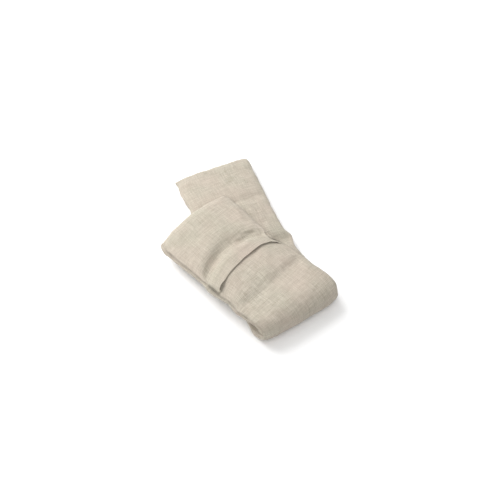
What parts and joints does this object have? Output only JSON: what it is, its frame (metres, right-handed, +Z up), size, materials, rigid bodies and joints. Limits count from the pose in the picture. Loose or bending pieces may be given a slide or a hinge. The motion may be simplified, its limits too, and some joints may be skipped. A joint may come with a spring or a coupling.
{
  "type": "linen herb and wheat heat pack",
  "caption": "Long flat wheat and herb heat pack in a natural linen cover with an envelope opening, folded over on itself at a slant.",
  "frame": {"origin": "on the floor, under the middle of the object's bounding box", "axes": "+Y along the lower leg away from the fold, +Z up, the folded-over leg swings out toward -X"},
  "size_m": [0.2238, 0.3692, 0.0523],
  "materials": {
    "linen": "slubby unbleached plain-weave linen",
    "cotton": "fine undyed calico",
    "grain": "loose dried wheat grain with herbs",
    "thread": "matte sewing thread"
  },
  "bodies": {
    "lower_leg": {"cover_lower_bottom": "linen", "cover_lower_top": "linen", "bag_lower_bottom": "cotton", "bag_lower_top": "cotton", "fill_fold_lower": "grain", "fill_chamber_4": "grain", "fill_chamber_5": "grain", "fill_chamber_6": "grain", "quilt_row_3_4": "thread", "quilt_row_4_5": "thread", "quilt_row_5_6": "thread"},
    "fold_stretch": {"cover_fold_outer": "linen", "cover_fold_under": "linen", "bag_fold_outer": "cotton", "bag_fold_under": "cotton", "fill_fold_top": "grain", "quilt_row_2_3": "thread"},
    "middle_stretch": {"cover_middle_panel": "linen", "cover_middle_under": "linen", "cover_flap": "linen", "cover_flap_hem": "linen", "cover_underlap_hem": "linen", "flap_stitch_row": "thread", "bar_tack_left": "thread", "bar_tack_right": "thread", "bag_middle_outer": "cotton", "bag_middle_under": "cotton", "fill_chamber_2": "grain", "quilt_row_1_2": "thread"},
    "end_stretch": {"cover_end_outer": "linen", "cover_end_under": "linen", "bag_end_outer": "cotton", "bag_end_under": "cotton", "fill_chamber_1": "grain"}
  },
  "joints": [
    {"name": "fold", "type": "hinge", "parent": "lower_leg", "child": "fold_stretch", "pos_m": [0.03938, -0.17342, 0.0245], "axis": [0.987, 0.1607, 0], "range_deg": [0, 180]},
    {"name": "seam_2_3", "type": "hinge", "parent": "fold_stretch", "child": "middle_stretch", "pos_m": [0.02224, -0.12221, 0.045], "axis": [0.9483, 0.3173, 0], "range_deg": [0, 45]},
    {"name": "seam_1_2", "type": "hinge", "parent": "middle_stretch", "child": "end_stretch", "pos_m": [-0.01044, -0.02453, 0.045], "axis": [0.9483, 0.3173, 0], "range_deg": [0, 45]}
  ]
}
